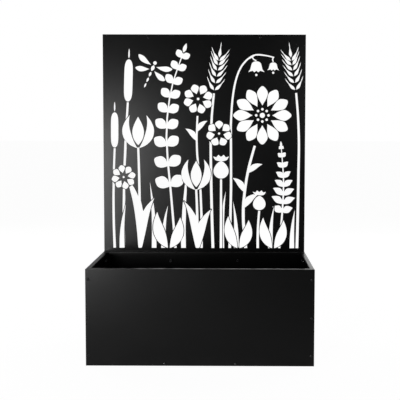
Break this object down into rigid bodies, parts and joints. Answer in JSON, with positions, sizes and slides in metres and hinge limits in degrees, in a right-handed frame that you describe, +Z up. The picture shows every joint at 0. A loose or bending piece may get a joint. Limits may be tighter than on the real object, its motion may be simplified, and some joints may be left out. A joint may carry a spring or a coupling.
{
  "type": "wall planter",
  "caption": "Wall planter: a black sheet-metal trough with a folded rim, and a tall screen pierced with plants bolted up its rear wall, with wall brackets behind its top edge.",
  "frame": {"origin": "on the floor, under the middle of the whole planter", "axes": "+Z up, the trough's front faces -Y, the wall is at +Y, and +X is to the right seen from the front"},
  "size_m": [0.6046, 0.2524, 0.9],
  "materials": {
    "powder_coat": "satin black powder coat",
    "black_screw": "blackened steel",
    "zinc_nut": "bright zinc plate"
  },
  "bodies": {
    "root": {"front_panel": "powder_coat", "rear_panel": "powder_coat", "left_side_panel": "powder_coat", "right_side_panel": "powder_coat", "base_tray": "powder_coat", "screen_panel": "powder_coat", "screen_top_stiffener": "powder_coat", "screen_left_stiffener": "powder_coat", "screen_right_stiffener": "powder_coat", "left_wall_bracket": "powder_coat", "right_wall_bracket": "powder_coat", "left_bracket_screw": "black_screw", "left_bracket_nut": "zinc_nut", "right_bracket_screw": "black_screw", "right_bracket_nut": "zinc_nut", "front_left_1_screw": "black_screw", "front_left_1_nut": "zinc_nut", "front_left_2_screw": "black_screw", "front_left_2_nut": "zinc_nut", "front_left_3_screw": "black_screw", "front_left_3_nut": "zinc_nut", "front_right_1_screw": "black_screw", "front_right_1_nut": "zinc_nut", "front_right_2_screw": "black_screw", "front_right_2_nut": "zinc_nut", "front_right_3_screw": "black_screw", "front_right_3_nut": "zinc_nut", "front_tray_left_screw": "black_screw", "front_tray_left_nut": "zinc_nut", "front_tray_right_screw": "black_screw", "front_tray_right_nut": "zinc_nut", "rear_left_1_screw": "black_screw", "rear_left_1_nut": "zinc_nut", "rear_left_2_screw": "black_screw", "rear_left_2_nut": "zinc_nut", "rear_right_1_screw": "black_screw", "rear_right_1_nut": "zinc_nut", "rear_right_2_screw": "black_screw", "rear_right_2_nut": "zinc_nut", "rear_tray_left_screw": "black_screw", "rear_tray_left_nut": "zinc_nut", "rear_tray_right_screw": "black_screw", "rear_tray_right_nut": "zinc_nut", "left_tray_front_screw": "black_screw", "left_tray_front_nut": "zinc_nut", "left_tray_rear_screw": "black_screw", "left_tray_rear_nut": "zinc_nut", "right_tray_front_screw": "black_screw", "right_tray_front_nut": "zinc_nut", "right_tray_rear_screw": "black_screw", "right_tray_rear_nut": "zinc_nut", "screen_left_corner_screw": "black_screw", "screen_left_corner_nut": "zinc_nut", "screen_left_middle_screw": "black_screw", "screen_left_middle_nut": "zinc_nut", "screen_right_corner_screw": "black_screw", "screen_right_corner_nut": "zinc_nut", "screen_right_middle_screw": "black_screw", "screen_right_middle_nut": "zinc_nut"}
  },
  "joints": []
}
